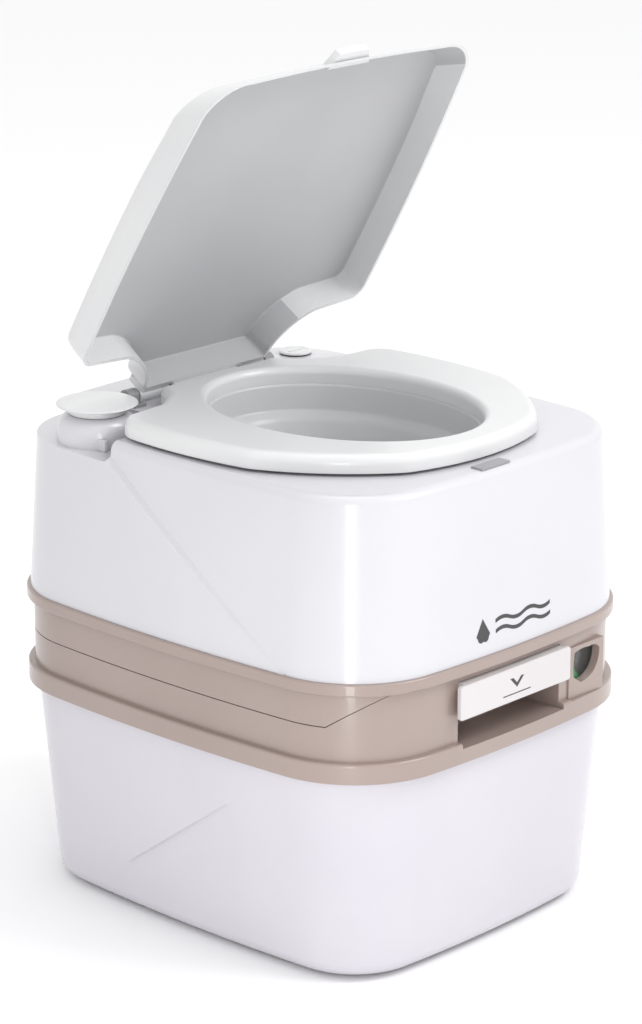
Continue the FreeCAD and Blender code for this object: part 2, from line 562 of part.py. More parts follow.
def make_hinge():
    for name, side in (("hinge_bracket_left", -1), ("hinge_bracket_right", 1)):
        centre = f"({side})*hinge_x"
        bracket = new_body(name)
        base = rectangle(new_sketch(bracket, "XY", (0, 0, "deck")), f"{centre}-6", "hinge_y-13",
                         f"{centre}+6", "hinge_y+13")
        pad(bracket, base, 2.4)
        at_pin = (centre, "hinge_y", "hinge_z")
        lug = rectangle(new_sketch(bracket, "YZ", at_pin), "-knuckle_radius", "deck+1-hinge_z",
                        "knuckle_radius", 0)
        pad(bracket, lug, 10, middle=True)
        pad(bracket, circle(new_sketch(bracket, "YZ", at_pin), 0, 0, "knuckle_radius"), 10, middle=True)
        hole = circle(new_sketch(bracket, "YZ", at_pin), 0, 0, "pin_radius")
        pocket(bracket, hole, 30, middle=True)
        for y in ("hinge_y-hinge_screw", "hinge_y+hinge_screw"):
            bore(bracket, centre, y, 1.5, "deck-1", "deck+4")
    screws = new_body("hinge_screws")
    for x in ("-hinge_x", "hinge_x"):
        for y in ("hinge_y-hinge_screw", "hinge_y+hinge_screw"):
            pad(screws, circle(new_sketch(screws, "XY", (0, 0, "deck-2.5")), x, y, 1.5), 5)
            pad(screws, circle(new_sketch(screws, "XY", (0, 0, "deck+2.4")), x, y, 2.6), 1.2)
    turned("hinge_pin", "X", (0, "hinge_y", "hinge_z"),
           [("-hinge_x-7", 0), ("-hinge_x-7", "pin_radius"), ("hinge_x+7", "pin_radius"), ("hinge_x+7", 0)])


def make_seat():
    seat = new_body("seat_ring")
    right_half = [(74, -159, 8), (147, -66, 4.5), (151, 54, 3), (136, 73), (99, 76), (75, 92), (63, 112)]
    edge = both_sides(right_half, (14,))
    pad(seat, outline(new_sketch(seat, "XY", (0, 0, "seat_low")), edge), "seat_thick-seat_shoulder")
    shoulder = new_sketch(seat, "XY", (0, 0, "seat_low+seat_thick-seat_shoulder"))
    pad(seat, outline(shoulder, edge), "seat_shoulder", "-lid_slope")
    opening = ellipse(new_sketch(seat, "XY", (0, 0, "seat_low-1")), "bowl_y", "hole_half_width",
                      "hole_half_length")
    pocket(seat, opening, "seat_thick+2", back=True)
    tab = rectangle(new_sketch(seat, "XY", (0, 0, "hinge_z-3")), "-tab_half", 100,
                    "tab_half", "hinge_y")
    pad(seat, tab, 7)
    knuckle = circle(new_sketch(seat, "YZ", (0, "hinge_y", "hinge_z")), 0, 0, "knuckle_radius")
    pad(seat, knuckle, "2*tab_half", middle=True)
    hole = circle(new_sketch(seat, "YZ", (0, "hinge_y", "hinge_z")), 0, 0, "pin_radius+pin_gap")
    pocket(seat, hole, 80, middle=True)
    bumpers = new_body("seat_bumpers")
    for x, y in ((-112, 40), (112, 40), (-100, -112), (100, -112)):
        foot = circle(new_sketch(bumpers, "XY", (0, 0, "deck+0.35")), x, y, "bumper_radius")
        pad(bumpers, foot, "seat_low-deck-0.35")


def lid_outline(sketch, inset, slope):
    """The lid's outline from above, hinge line on the X axis, with its front edge set back by the slope."""
    front = f"({inset})+({slope})"
    right_half = [(f"105-({inset})", f"-322+{front}", 8), (f"153-({inset})", f"-291+{front}", 2.5),
                  (f"158.5-({inset})", f"-68-({inset})", 3), (f"149-({inset})", f"-53-({inset})"),
                  (f"107-({inset})", f"-50-({inset})", -6), (f"70-({inset})", f"-11-({inset})"),
                  (f"70-({inset})", f"-7-({inset})")]
    return outline(sketch, both_sides(right_half, (3,)))


def make_lid():
    lid = new_body("lid")
    shoulder = "lid_high-lid_shoulder"
    lean = "({0})*tan(lid_draft)"
    at_shoulder = lean.format(f"{shoulder}-lid_low")
    levels = (("lid_low", 0, 0), (shoulder, at_shoulder, "lid_slant-7"),
              ("lid_high", f"{at_shoulder}+lid_shoulder*tan(lid_slope)", "lid_slant"))
    loft(lid, [lid_outline(new_sketch(lid, "XY", (0, 0, z)), *edge) for z, *edge in levels])
    roof = "lid_high-lid_wall"
    levels = (("lid_low-1", "lid_wall", 0),
              (roof, "lid_wall+" + lean.format(f"{roof}-lid_low"), "lid_slant-1"))
    loft(lid, [lid_outline(new_sketch(lid, "XY", (0, 0, z)), *edge) for z, *edge in levels], cut=True)
    for side in (-1, 1):
        place = (f"({side})*lid_knuckle_x", 0, 0)
        pad(lid, rectangle(new_sketch(lid, "YZ", place), -14, 0, -4, 15), "lid_knuckle-4", middle=True)
        pad(lid, circle(new_sketch(lid, "YZ", place), 0, 0, "knuckle_radius"), "lid_knuckle", middle=True)
        hole = circle(new_sketch(lid, "YZ", place), 0, 0, "pin_radius+pin_gap")
        pocket(lid, hole, "lid_knuckle+8", middle=True)
    notch = rectangle(new_sketch(lid, "XY", (0, 0, "lid_low-1")), "-tab_half-tab_play", -14,
                      "tab_half+tab_play", -5)
    pocket(lid, notch, "tab_notch", back=True)
    lip = outline(new_sketch(lid, "XY", (0, 0, "lid_low+2")),
                  [(-24, -315), (-16, -331, 1), (16, -331), (24, -315)])
    pad(lid, lip, 7)
    lid.Placement = FreeCAD.Placement(FreeCAD.Vector(), FreeCAD.Rotation(FreeCAD.Vector(-1, 0, 0), 1))
    lid.setExpression("Placement.Base.y", in_sheet("hinge_y"))
    lid.setExpression("Placement.Base.z", in_sheet("hinge_z"))
    lid.setExpression("Placement.Rotation.Angle", in_sheet("lid_open"))


def make_pump():
    place = ("pump_x", "pump_y", 0)
    ring("pump_barrel", "Z", place, "upper_floor+20", "pocket_z", "barrel_radius-2", "barrel_radius")
    turned("pump_strainer", "Z", place,
           [("upper_floor+9", 0), ("upper_floor+9", "barrel_radius+2"),
            ("upper_floor+20", "barrel_radius+2"), ("upper_floor+20", 6), ("upper_floor+12", 6),
            ("upper_floor+12", 0)])
    turned("pump_collar", "Z", place,
           [("pocket_z", 14), ("pocket_z", "cap_radius"), ("pocket_z+14", "cap_radius-1"),
            ("pocket_z+22", "cap_radius-6"), ("pocket_z+22", 14)])
    turned("pump_knob", "Z", place,
           [("pocket_z+22.4", 0), ("pocket_z+22.4", "cap_radius-9"), ("pocket_z+26", "cap_radius-9"),
            ("pocket_z+27.5", "cap_radius-1"), ("pocket_z+29.5", "cap_radius"),
            ("pocket_z+31.5", "cap_radius-8"), ("pocket_z+33", 10), ("pocket_z+33", 0)])
    turned("pump_rod", "Z", place, [("upper_floor+44", 0), ("upper_floor+44", 4), ("pocket_z+22.4", 4),
                                    ("pocket_z+22.4", 0)])
    ring("pump_gland", "Z", place, "pocket_z+10", "pocket_z+20", 4.06, 14)
    turned("pump_piston", "Z", place,
           [("upper_floor+34", 0), ("upper_floor+34", 13.2), ("upper_floor+37", 13.2),
            ("upper_floor+37", 11), ("upper_floor+41", 11), ("upper_floor+41", 13.2),
            ("upper_floor+44", 13.2), ("upper_floor+44", 0)])
    ring("piston_seal", "Z", place, "upper_floor+37", "upper_floor+41", 11, 13.95)


def make_flush_line():
    barrel = next(part for part in parts if part.Label == "pump_barrel")
    port = circle(new_sketch(barrel, "XZ", ("hose_x", 108, "hose_z")), 0, 0, "hose_radius+1")
    pad(barrel, port, 8)
    bore(barrel, "pump_x", "pump_y", "barrel_radius-2", "upper_floor+20", "pocket_z")
    hose = new_body("flush_hose")
    along = circle(new_sketch(hose, "XZ", ("hose_x", 100, "hose_z")), 0, 0, "hose_radius")
    pad(hose, along, "100-nozzle_y")
    across = circle(new_sketch(hose, "YZ", ("hose_x", "nozzle_y", "hose_z")), 0, 0, "hose_radius")
    pad(hose, across, "-94-hose_x")
    turned("flush_nozzle", "X", (0, "nozzle_y", "hose_z"),
           [(-94, 0), (-94, 4), (-84, 5.9), (-75, 5.9), (-72, 3), (-72, 0)])


def make_fill_cap():
    place = ("fill_x", "fill_y", 0)
    ring("fill_neck", "Z", place, "deck-14", "deck", "fill_radius-1", "fill_radius+2")
    turned("fill_cap", "Z", place,
           [("deck-10", 0), ("deck-10", "fill_radius-1.06"), ("deck+1.2", "fill_radius-1.06"),
            ("deck+1.2", "fill_radius+1.5"), ("deck+2.4", "fill_radius+1"), ("deck+3.2", 8), ("deck+3.2", 0)])
    ring("fill_cap_seal", "Z", place, "deck+gap", "deck+1.2", "fill_radius-1", "fill_radius+1")


def make_seat_pad():
    box("seat_pad", (-27, -191, "deck"), (5, -180, "deck+1.4"))


def check_and_write():
    doc.recompute()
    for item in doc.Objects:
        if any(state in ("Invalid", "Error") for state in item.State):
            raise RuntimeError(f"{item.Name} failed: {item.State}")
    for part in parts:
        if part.Shape.isNull() or not part.Shape.isValid():
            raise RuntimeError(f"{part.Label} has no valid shape")
    os.makedirs("parts", exist_ok=True)
    for part in parts:
        part.Shape.exportStep(f"parts/{part.Label}.step")
        extent = part.Shape.BoundBox
        print(f"{part.Label}: {part.Shape.Volume / 1000:.2f} cm3, {len(part.Shape.Solids)} solids, "
              f"x {extent.XMin:.1f}..{extent.XMax:.1f}, y {extent.YMin:.1f}..{extent.YMax:.1f}, "
              f"z {extent.ZMin:.1f}..{extent.ZMax:.1f}")


make_lower_tank()
make_feet()
make_lower_collar()
make_valve()
make_handle()
make_indicator()
make_spout()
make_vent_and_latch()
make_upper_skirt()
make_upper_tank()
make_bowl()
make_hinge()
make_seat()
make_lid()
make_pump()
make_flush_line()
make_fill_cap()
make_seat_pad()
check_and_write()
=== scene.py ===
import json
import math

import bmesh
import bpy
from mathutils import Matrix, Vector


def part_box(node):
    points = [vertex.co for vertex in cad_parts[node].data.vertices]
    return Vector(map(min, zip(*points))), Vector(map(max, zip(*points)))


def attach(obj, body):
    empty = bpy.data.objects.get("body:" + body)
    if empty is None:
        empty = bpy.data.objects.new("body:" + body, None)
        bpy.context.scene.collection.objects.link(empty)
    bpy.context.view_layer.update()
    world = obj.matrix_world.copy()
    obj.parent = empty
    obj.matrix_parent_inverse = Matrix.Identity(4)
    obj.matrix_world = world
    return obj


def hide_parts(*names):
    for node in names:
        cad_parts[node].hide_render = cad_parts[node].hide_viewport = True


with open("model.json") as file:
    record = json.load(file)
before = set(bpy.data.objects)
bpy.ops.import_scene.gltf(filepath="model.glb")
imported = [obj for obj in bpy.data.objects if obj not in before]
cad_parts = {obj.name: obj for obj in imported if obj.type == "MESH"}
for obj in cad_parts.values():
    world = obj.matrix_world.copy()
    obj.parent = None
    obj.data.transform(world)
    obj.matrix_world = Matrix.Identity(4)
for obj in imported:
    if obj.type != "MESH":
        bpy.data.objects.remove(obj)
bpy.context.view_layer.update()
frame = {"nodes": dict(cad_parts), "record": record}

# A portable camp toilet: fresh water tank with bowl, seat and lid over a waste tank. +Z is up and the front
# faces -Y. The pieces' sizes are in millimetres, and MM makes them metres; the camera and the lights are
# placed in metres.
MM = 0.001
NEAR = 0.02 * MM
UP = Vector((0, 0, 1))

# Plan of the band's flanges: half sizes, and radii of the bowed sides, the bowed ends and the corners
HALF_WIDTH, HALF_DEPTH = 176.5, 207.5
SIDE_BOW, END_BOW, CORNER_ROUND = 1662, 1204, 84
# How far the tanks' outlines are set in from the flanges
LOWER_TOP_INSET, FOOT_INSET, NECK_INSET = 8, 22.8, 10.3
UPPER_FOOT_INSET, DECK_INSET = 3, 12

# How finely arcs and round pieces are divided
ARC_STEP, ARC_TURN = 5, math.radians(8)
OVAL_STEPS, HOLE_STEPS, SPIN_STEPS = 112, 144, 96


def middle(node):
    """The middle of a node's box."""
    low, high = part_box(node)
    return (low + high) / 2 / MM


# Heights and places read from the frame
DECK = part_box("upper_tank")[1].z / MM
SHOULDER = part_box("upper_skirt")[1].z / MM
NECK_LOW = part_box("upper_tank")[0].z / MM
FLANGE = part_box("lower_collar")[0].z / MM
TANK_LOW, TANK_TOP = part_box("lower_tank")[0].z / MM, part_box("lower_tank")[1].z / MM
SEAT_LOW, SEAT_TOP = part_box("seat_bumpers")[1].z / MM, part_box("seat_ring")[1].z / MM
PUMP, FILL, HINGE = middle("pump_knob"), middle("fill_cap"), middle("hinge_pin")
POCKET_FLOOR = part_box("pump_collar")[0].z / MM

# The pump's pocket in the rear left corner, the bowl's middle and the oval hole in the seat
POCKET_X, POCKET_Y = -86, 66
BOWL_Y = -27
HOLE_HALF_WIDTH, HOLE_HALF_LENGTH = 91, 119


# ---------------------------------------------------------------- camera, light and floor

def add_camera():
    azimuth, elevation, distance = math.radians(-46.92), math.radians(17.25), 2.8043
    away = Vector((math.sin(azimuth) * math.cos(elevation), -math.cos(azimuth) * math.cos(elevation),
                   math.sin(elevation)))
    aim = Vector((0.00295, 0, 0.308))
    bpy.ops.object.camera_add(location=aim + away * distance,
                              rotation=away.to_track_quat("Z", "Y").to_euler())
    camera = bpy.context.object
    camera.data.lens = 125.4
    camera.data.sensor_width = 36
    bpy.context.scene.camera = camera


def add_softbox(name, place, aim, width, height, power):
    """A soft rectangular light at the place, turned towards the aim; both in metres."""
    direction = Vector(aim) - Vector(place)
    bpy.ops.object.light_add(type="AREA", location=place,
                             rotation=direction.to_track_quat("-Z", "Y").to_euler())
    light = bpy.context.object
    light.name = name
    light.data.shape = "RECTANGLE"
    light.data.size = width
    light.data.size_y = height
    light.data.energy = power


def add_studio():
    bpy.context.scene.view_settings.view_transform = "Standard"
    world = bpy.data.worlds.new("studio")
    bpy.context.scene.world = world
    world.use_nodes = True
    world.node_tree.nodes["Background"].inputs["Color"].default_value = (1, 1, 1, 1)
    world.node_tree.nodes["Background"].inputs["Strength"].default_value = 1
    add_softbox("key_softbox", (0.8, -1.5, 2.1), (0, 0, 0.25), 1.1, 1.1, 25)
    add_softbox("top_softbox", (0, 0.1, 2.6), (0, 0, 0.4), 1.4, 1.4, 8)
    add_softbox("corner_strip", (-0.64, -0.55, 0.27), (-0.12, -0.13, 0.25), 0.1, 0.6, 1.5)


def add_floor():
    bpy.ops.mesh.primitive_circle_add(vertices=96, radius=14, fill_type="NGON")
    floor = bpy.context.object
    floor.name = "studio_floor"
    paint = bpy.data.materials.new("pale_floor")
    paint.use_nodes = True
    shader = paint.node_tree.nodes["Principled BSDF"]
    shader.inputs["Base Color"].default_value = (0.93, 0.93, 0.935, 1)
    shader.inputs["Roughness"].default_value = 0.9
    shader.inputs["Specular IOR Level"].default_value = 0.1
    floor.data.materials.append(paint)


# ---------------------------------------------------------------- finishes

# How far scuffing shifts a plastic's roughness either way, and how fine its mould grain is
SCUFF, GRAIN_SCALE = 0.025, 2600


def new_finish(name):
    finish = bpy.data.materials.new(name)
    finish.use_nodes = True
    return finish.node_tree, finish.node_tree.nodes["Principled BSDF"], finish


def noise(tree, place, scale, detail=3, roughness=0.5):
    node = tree.nodes.new("ShaderNodeTexNoise")
    node.inputs["Scale"].default_value = scale
    node.inputs["Detail"].default_value = detail
    node.inputs["Roughness"].default_value = roughness
    tree.links.new(place, node.inputs["Vector"])
    return node.outputs["Fac"]


def spread(tree, source, low, high):
    """Stretches a noise's middle range over low to high."""
    node = tree.nodes.new("ShaderNodeMapRange")
    node.interpolation_type = "SMOOTHSTEP"
    node.inputs["From Min"].default_value = 0.3
    node.inputs["From Max"].default_value = 0.7
    node.inputs["To Min"].default_value = low
    node.inputs["To Max"].default_value = high
    tree.links.new(source, node.inputs["Value"])
    return node.outputs["Result"]


def blend_colours(tree, factor, first, second):
    node = tree.nodes.new("ShaderNodeMix")
    node.data_type = "RGBA"
    tree.links.new(factor, node.inputs["Factor"])
    for socket, colour in (("A", first), ("B", second)):
        target = next(i for i in node.inputs if i.name == socket and i.type == "RGBA")
        if isinstance(colour, tuple):
            target.default_value = (*colour, 1)
        else:
            tree.links.new(colour, target)
    return next(o for o in node.outputs if o.type == "RGBA")


def bump(tree, height, strength, distance, below=None):
    node = tree.nodes.new("ShaderNodeBump")
    node.inputs["Strength"].default_value = strength
    node.inputs["Distance"].default_value = distance
    tree.links.new(height, node.inputs["Height"])
    if below:
        tree.links.new(below, node.inputs["Normal"])
    return node.outputs["Normal"]


def moulded_plastic(name, colour, shade, gloss, peel, peel_scale=140, grain=0, coat=0):
    """Moulded plastic: cloudy colour, uneven gloss, an orange-peel skin and, if asked, fine mould grain."""
    tree, shader, finish = new_finish(name)
    place = tree.nodes.new("ShaderNodeTexCoord").outputs["Object"]
    clouds = spread(tree, noise(tree, place, 7, 4), 0, 1)
    specks = spread(tree, noise(tree, place, 420, 2), 0, 0.2)
    tint = blend_colours(tree, clouds, colour, shade)
    tree.links.new(blend_colours(tree, specks, tint, shade), shader.inputs["Base Color"])
    smears = spread(tree, noise(tree, place, 16, 3), gloss - SCUFF, gloss + SCUFF)
    tree.links.new(smears, shader.inputs["Roughness"])
    skin = bump(tree, noise(tree, place, peel_scale, 2), peel, 0.3 * MM)
    if grain:
        skin = bump(tree, noise(tree, place, GRAIN_SCALE, 3, 0.7), grain, 0.12 * MM, skin)
    tree.links.new(skin, shader.inputs["Normal"])
    shader.inputs["IOR"].default_value = 1.5
    if coat:
        shader.inputs["Coat Weight"].default_value = coat
        shader.inputs["Coat Roughness"].default_value = 0.06
    return finish


def rubber():
    """Moulded black rubber: dull, dusty in places, with a fine matt grain."""
    tree, shader, finish = new_finish("black_rubber")
    place = tree.nodes.new("ShaderNodeTexCoord").outputs["Object"]
    dust = spread(tree, noise(tree, place, 60, 6, 0.7), 0, 0.8)
    tree.links.new(blend_colours(tree, dust, (0.018, 0.018, 0.019), (0.06, 0.058, 0.055)),
                   shader.inputs["Base Color"])
    tree.links.new(spread(tree, noise(tree, place, 240, 4), 0.62, 0.82), shader.inputs["Roughness"])
    tree.links.new(bump(tree, noise(tree, place, 1800, 4, 0.7), 0.35, 0.1 * MM), shader.inputs["Normal"])
    return finish


def steel():
    """Turned steel: bright, with fine lines along its length and faint staining."""
    tree, shader, finish = new_finish("turned_steel")
    place = tree.nodes.new("ShaderNodeTexCoord").outputs["Object"]
    mapping = tree.nodes.new("ShaderNodeMapping")
    mapping.inputs["Scale"].default_value = (1, 0.04, 1)
    tree.links.new(place, mapping.inputs["Vector"])
    lines = noise(tree, mapping.outputs["Vector"], 2400, 2)
    stains = spread(tree, noise(tree, place, 55, 5), 0, 1)
    tree.links.new(blend_colours(tree, stains, (0.62, 0.62, 0.63), (0.5, 0.49, 0.48)),
                   shader.inputs["Base Color"])
    tree.links.new(spread(tree, lines, 0.2, 0.38), shader.inputs["Roughness"])
    tree.links.new(bump(tree, lines, 0.12, 0.05 * MM), shader.inputs["Normal"])
    shader.inputs["Metallic"].default_value = 1
    return finish


def clear_window():
    """A clear moulded pane with a faint green cast and slight flow lines."""
    tree, shader, finish = new_finish("clear_pane")
    place = tree.nodes.new("ShaderNodeTexCoord").outputs["Object"]
    haze = spread(tree, noise(tree, place, 90, 4), 0, 1)
    tree.links.new(blend_colours(tree, haze, (0.93, 0.97, 0.95), (0.86, 0.92, 0.89)),
                   shader.inputs["Base Color"])
    tree.links.new(spread(tree, noise(tree, place, 160, 4), 0.03, 0.12), shader.inputs["Roughness"])
    tree.links.new(bump(tree, noise(tree, place, 120, 2), 0.1, 0.1 * MM), shader.inputs["Normal"])
    shader.inputs["Transmission Weight"].default_value = 0.85
    shader.inputs["Alpha"].default_value = 0.15
    shader.inputs["IOR"].default_value = 1.49
    return finish


TANK_WHITE = moulded_plastic("tank_white", (0.60, 0.598, 0.625), (0.575, 0.573, 0.605), 0.22, 0.05,
                             coat=0.3)
LOWER_WHITE = moulded_plastic("waste_tank_white", (0.585, 0.565, 0.61), (0.56, 0.54, 0.59), 0.24, 0.05,
                              coat=0.3)
LID_WHITE = moulded_plastic("lid_white", (0.67, 0.672, 0.675), (0.645, 0.648, 0.655), 0.3, 0.03, 90,
                            coat=0.2)
# A darker grey for the lid's underside and rear wall: painted shade, standing in for the shade that falls on
# the faces that look down and back
LID_PAINTED_SHADE = moulded_plastic("lid_painted_shade", (0.45, 0.452, 0.46), (0.42, 0.423, 0.435), 0.45, 0.03, 90, 0.1)
BOWL_WHITE = moulded_plastic("bowl_white", (0.56, 0.565, 0.57), (0.53, 0.537, 0.545), 0.35, 0.03, 90)
BAND_TAUPE = moulded_plastic("band_taupe", (0.335, 0.262, 0.235), (0.31, 0.242, 0.217), 0.34, 0.05, 160,
                             0.12, coat=0.5)
HANDLE_WHITE = moulded_plastic("handle_white", (0.62, 0.59, 0.595), (0.59, 0.565, 0.57), 0.35, 0.03, 120,
                               0.06)
DARK_PLASTIC = moulded_plastic("dark_plastic", (0.035, 0.035, 0.038), (0.055, 0.055, 0.06), 0.42, 0.05,
                               200, 0.2)
GREY_PLASTIC = moulded_plastic("grey_plastic", (0.3, 0.3, 0.31), (0.24, 0.24, 0.25), 0.4, 0.05, 200, 0.15)
SIGNAL_GREEN = moulded_plastic("signal_green", (0.03, 0.36, 0.09), (0.02, 0.26, 0.06), 0.3, 0.04)
MARK_GREY = moulded_plastic("mark_grey", (0.03, 0.03, 0.032), (0.05, 0.05, 0.052), 0.5, 0.02)
RUBBER = rubber()
STEEL = steel()
PANE = clear_window()


# ---------------------------------------------------------------- working with a piece

def leave_edit():
    if bpy.context.mode != "OBJECT":
        bpy.ops.object.mode_set(mode="OBJECT")
    bpy.ops.object.select_all(action="DESELECT")


def take(piece):
    """Leaves this piece alone picked and active, in object mode."""
    leave_edit()
    piece.select_set(True)
    bpy.context.view_layer.objects.active = piece


def edit(piece):
    """Opens this piece for editing with nothing picked."""
    take(piece)
    bpy.ops.object.mode_set(mode="EDIT")
    bpy.ops.mesh.select_all(action="DESELECT")


def pick(kind, test):
    """Picks the vertices, edges or faces that pass the test, and drops the rest."""
    bpy.ops.mesh.select_mode(type=kind)
    bpy.ops.mesh.select_all(action="DESELECT")
    mesh = bmesh.from_edit_mesh(bpy.context.object.data)
    for element in {"VERT": mesh.verts, "EDGE": mesh.edges, "FACE": mesh.faces}[kind]:
        if test(element):
            element.select_set(True)
    bmesh.update_edit_mesh(bpy.context.object.data)


def flat_at(height):
    """True for an edge or face that lies at this height."""
    return lambda element: all(abs(vert.co.z - height * MM) < NEAR for vert in element.verts)


def new_piece(name):
    piece = bpy.context.object
    piece.name = name
    piece.data.name = name
    bpy.ops.object.transform_apply(location=True, rotation=True, scale=True)
    return piece


def add_block(name, low, high):
    """A block between two corners, ready to be shaped."""
    leave_edit()
    low, high = Vector(low) * MM, Vector(high) * MM
    bpy.ops.mesh.primitive_cube_add(size=1, location=(low + high) / 2, scale=high - low)
    return new_piece(name)


def trace(name, corners, height):
    """A flat face; a corner with a third value starts an arc that bulges outwards by it."""
    leave_edit()
    bpy.ops.mesh.primitive_plane_add(size=MM, location=Vector((*corners[0][:2], height)) * MM)
    piece = new_piece(name)
    edit(piece)
    bpy.ops.mesh.select_mode(type="VERT")
    bpy.ops.mesh.select_all(action="SELECT")
    bpy.ops.mesh.merge(type="CENTER")
    for corner, following in zip(corners, corners[1:] + corners[:1]):
        here, there = (Vector((*point[:2], height)) * MM for point in (corner, following))
        run = there - here
        if len(corner) == 2 or abs(corner[2]) < 0.01:
            bpy.ops.mesh.extrude_region_move(TRANSFORM_OT_translate={"value": run})
            continue
        bulge = corner[2] * MM
        radius = (run.length_squared / 4 + bulge ** 2) / (2 * abs(bulge))
        left = Vector((-run.y, run.x, 0)).normalized()
        centre = (here + there) / 2 + left * math.copysign(radius - abs(bulge), bulge)
        angle = math.copysign(2 * math.asin(run.length / 2 / radius), bulge)
        steps = max(2, round(radius * abs(angle) / (ARC_STEP * MM)), round(abs(angle) / ARC_TURN))
        bpy.ops.mesh.spin(steps=steps, angle=-angle, center=centre, axis=UP)
    bpy.ops.mesh.select_all(action="SELECT")
    bpy.ops.mesh.remove_doubles(threshold=NEAR)
    bpy.ops.mesh.edge_face_add()
    face_up()
    return piece


def face_up(up=True):
    """Turns the only face to look up, or down."""
    bpy.ops.mesh.select_all(action="SELECT")
    face = bmesh.from_edit_mesh(bpy.context.object.data).faces[0]
    if (face.normal.z > 0) != up:
        bpy.ops.mesh.flip_normals()
    bpy.ops.mesh.select_mode(type="FACE")


def along_arc(start, end, bulge, distance):
    """The point this far along the run from start to end, which a bulge makes an arc."""
    chord = end - start
    heading = math.atan2(chord.y, chord.x)
    if not bulge:
        return start + chord.normalized() * distance
    half = 2 * math.atan(2 * bulge / chord.length)
    radius = chord.length / 2 / math.sin(half)
    turn = distance / radius
    reach = 2 * radius * math.sin(turn / 2)
    direction = heading - half + turn / 2
    return start + Vector((math.cos(direction), math.sin(direction))) * reach


def soften(corners, radii):
    """The outline with a tangent arc of the given radius at each corner."""
    points = [Vector(corner[:2]) for corner in corners]
    bulges = [corner[2] if len(corner) == 3 else 0 for corner in corners]
    count = len(corners)
    chords = [points[(i + 1) % count] - points[i] for i in range(count)]
    halves = [2 * math.atan(2 * bulge / chord.length) for bulge, chord in zip(bulges, chords)]
    lengths = [chord.length * (half / math.sin(half) if half else 1) for half, chord in zip(halves, chords)]
    headings = [math.atan2(chord.y, chord.x) for chord in chords]
    turns = [math.remainder(headings[i] - halves[i] - headings[i - 1] - halves[i - 1], math.tau)
             for i in range(count)]
    cuts = [radius * math.tan(abs(turn) / 2) for radius, turn in zip(radii, turns)]
    softened = []
    for i in range(count):
        last, following = i - 1, (i + 1) % count
        arrive = along_arc(points[last], points[i], bulges[last], lengths[last] - cuts[i])
        leave = along_arc(points[i], points[following], bulges[i], cuts[i])
        stop = along_arc(points[i], points[following], bulges[i], lengths[i] - cuts[following])
        softened.append((*arrive, (leave - arrive).length / 2 * math.tan(turns[i] / 4)))
        kept = halves[i] * (lengths[i] - cuts[i] - cuts[following]) / lengths[i]
        softened.append((*leave, (stop - leave).length / 2 * math.tan(kept / 2)))
    return softened


def body_corners(inset):
    """The toilet's plan outline, set in from the flanges: bowed sides and tangent corner arcs."""
    side, end = Vector((HALF_WIDTH - SIDE_BOW, 0)), Vector((0, HALF_DEPTH - END_BOW))
    from_side, from_end = SIDE_BOW - CORNER_ROUND, END_BOW - CORNER_ROUND
    run = end - side
    along = (from_side ** 2 - from_end ** 2 + run.length_squared) / (2 * run.length)
    run.normalize()
    corner = side + run * along + Vector((-run.y, run.x)) * math.sqrt(from_side ** 2 - along ** 2)
    to_side, to_end = (corner - side).normalized(), (corner - end).normalized()
    first, second = corner + to_side * (CORNER_ROUND - inset), corner + to_end * (CORNER_ROUND - inset)
    side_bulge = HALF_WIDTH - inset - first.x
    end_bulge = HALF_DEPTH - inset - second.y
    reach = (second - first).length / 2
    corner_bulge = CORNER_ROUND - inset - math.sqrt((CORNER_ROUND - inset) ** 2 - reach ** 2)
    return [(first.x, -first.y, side_bulge), (first.x, first.y, corner_bulge),
            (second.x, second.y, end_bulge), (-second.x, second.y, corner_bulge),
            (-first.x, first.y, side_bulge), (-first.x, -first.y, corner_bulge),
            (-second.x, -second.y, end_bulge), (second.x, -second.y, corner_bulge)]


def both_sides(right_half, front_bulge):
    """The right half of an outline, front to rear, completed by its mirror image."""
    left_half = []
    for index in reversed(range(len(right_half))):
        x, y = right_half[index][:2]
        bulge = right_half[index - 1][2:] if index else front_bulge
        left_half.append((-x, y, *bulge))
    return right_half + left_half


# The inset of a wall that rises straight up
STRAIGHT = 0.01


def draw_in(inset, rise):
    """Moves the picked face along its normal by the rise while its edge draws in by the inset."""
    bpy.ops.mesh.inset(thickness=inset * MM, depth=rise * MM, use_even_offset=True, use_boundary=True)


def close_open_edges():
    bpy.ops.mesh.select_mode(type="EDGE")
    bpy.ops.mesh.select_all(action="DESELECT")
    bpy.ops.mesh.select_non_manifold(extend=False, use_boundary=True, use_wire=False,
                                     use_multi_face=False, use_non_contiguous=False, use_verts=False)
    bpy.ops.mesh.edge_face_add()


def round_edges(radius, segments=5):
    bpy.ops.mesh.bevel(offset=radius * MM, offset_type="OFFSET", segments=segments, profile=0.5,
                       affect="EDGES", clamp_overlap=True)


def oval(name, y, half_width, half_length, low, high, narrowing=1.0, steps=OVAL_STEPS):
    """An upright oval plug, narrower at its foot by the factor, used as a cutter or a blank."""
    leave_edit()
    bpy.ops.mesh.primitive_cone_add(vertices=steps, radius1=narrowing, radius2=1, depth=(high - low) * MM,
                                    location=(0, y * MM, (low + high) / 2 * MM),
                                    scale=(half_width * MM, half_length * MM, 1))
    return new_piece(name)


def carve(piece, tool):
    """Cuts the tool out of the piece and removes the tool."""
    take(piece)
    bpy.ops.object.modifier_add(type="BOOLEAN")
    modifier = piece.modifiers[-1]
    modifier.object = tool
    modifier.operation = "DIFFERENCE"
    modifier.solver = "EXACT"
    bpy.ops.object.modifier_apply(modifier=modifier.name)
    bpy.data.objects.remove(tool)


def bevel_sharp(piece, width, segments=3, angle=32):
    take(piece)
    bpy.ops.object.modifier_add(type="BEVEL")
    modifier = piece.modifiers[-1]
    modifier.width = width * MM
    modifier.segments = segments
    modifier.limit_method = "ANGLE"
    modifier.angle_limit = math.radians(angle)
    modifier.use_clamp_overlap = True
    bpy.ops.object.modifier_apply(modifier=modifier.name)


